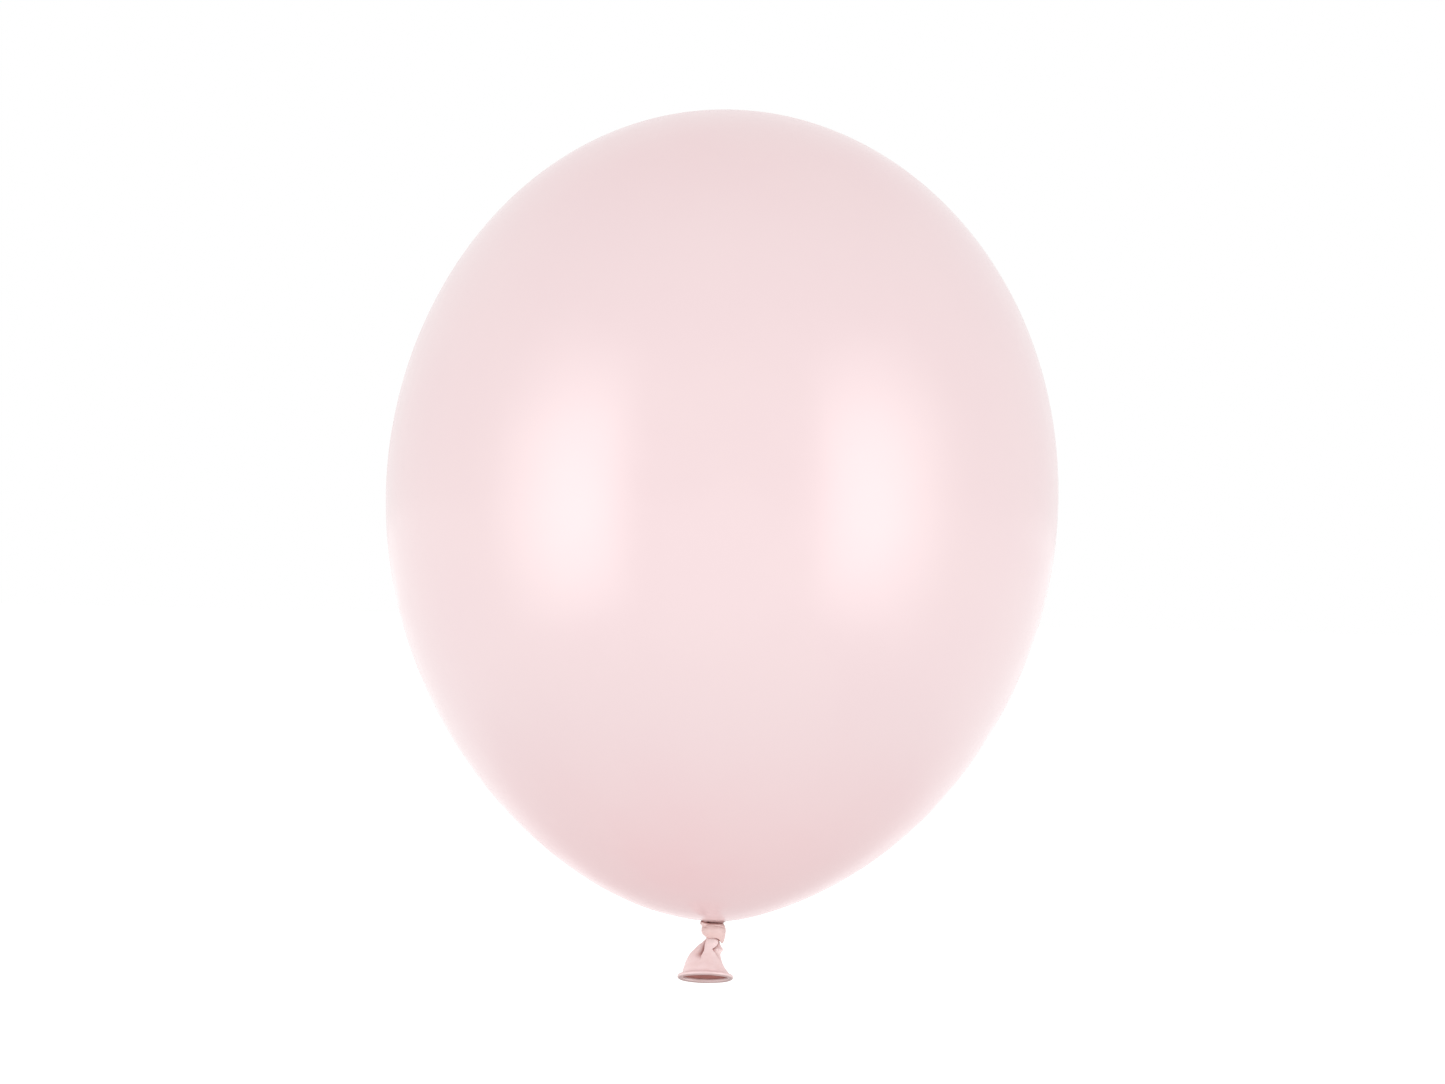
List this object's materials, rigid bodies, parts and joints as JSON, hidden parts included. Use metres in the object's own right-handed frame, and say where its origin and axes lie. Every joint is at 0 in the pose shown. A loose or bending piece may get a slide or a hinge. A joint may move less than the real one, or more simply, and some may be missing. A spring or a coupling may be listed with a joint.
{
  "type": "latex balloon",
  "caption": "Blown-up round latex party balloon, tied off with an overhand knot, its loose tail flaring to a rolled mouth.",
  "frame": {"origin": "the tie point: the middle of the gathered neck, between the envelope's throat and the knot", "axes": "+Z along the balloon's axis from the tie point up to the crown; -Y is the front, the side that the mouth leans towards; +X is to the right seen from the front"},
  "size_m": [0.3, 0.3, 0.3905],
  "materials": {
    "film": "glossy stretched latex, pastel pink, slightly translucent",
    "neck_film": "satin unstretched latex, deeper pastel pink, opaque, finely wrinkled",
    "bead": "satin latex rolled into a ring"
  },
  "bodies": {
    "envelope": {"envelope": "film", "throat": "film"},
    "neck": {"neck_strand": "neck_film"},
    "knot": {"knot_core": "neck_film", "knot_collar": "neck_film", "knot_tuck": "neck_film"},
    "tail_root": {"tail_root": "neck_film"},
    "tail": {"tail_skirt": "neck_film", "mouth_bead": "bead"}
  },
  "joints": [
    {"name": "neck_rock", "type": "hinge", "parent": "envelope", "child": "neck", "pos_m": [0, 0, 0.012], "axis": [0, 1, 0], "range_deg": [-10, 10], "stiffness_Nm_per_rad": 0.003},
    {"name": "neck_twist", "type": "hinge", "parent": "neck", "child": "knot", "pos_m": [0, 0, 0], "axis": [0, 0, 1], "range_deg": [-90, 90], "stiffness_Nm_per_rad": 0.001},
    {"name": "tail_nod", "type": "hinge", "parent": "knot", "child": "tail_root", "pos_m": [0, 0, -0.0076], "axis": [1, 0, 0], "range_deg": [-30, 40], "stiffness_Nm_per_rad": 0.0006},
    {"name": "tail_swing", "type": "hinge", "parent": "tail_root", "child": "tail", "pos_m": [0, 0, -0.0076], "axis": [0, 1, 0], "range_deg": [-10, 16], "stiffness_Nm_per_rad": 0.001}
  ]
}
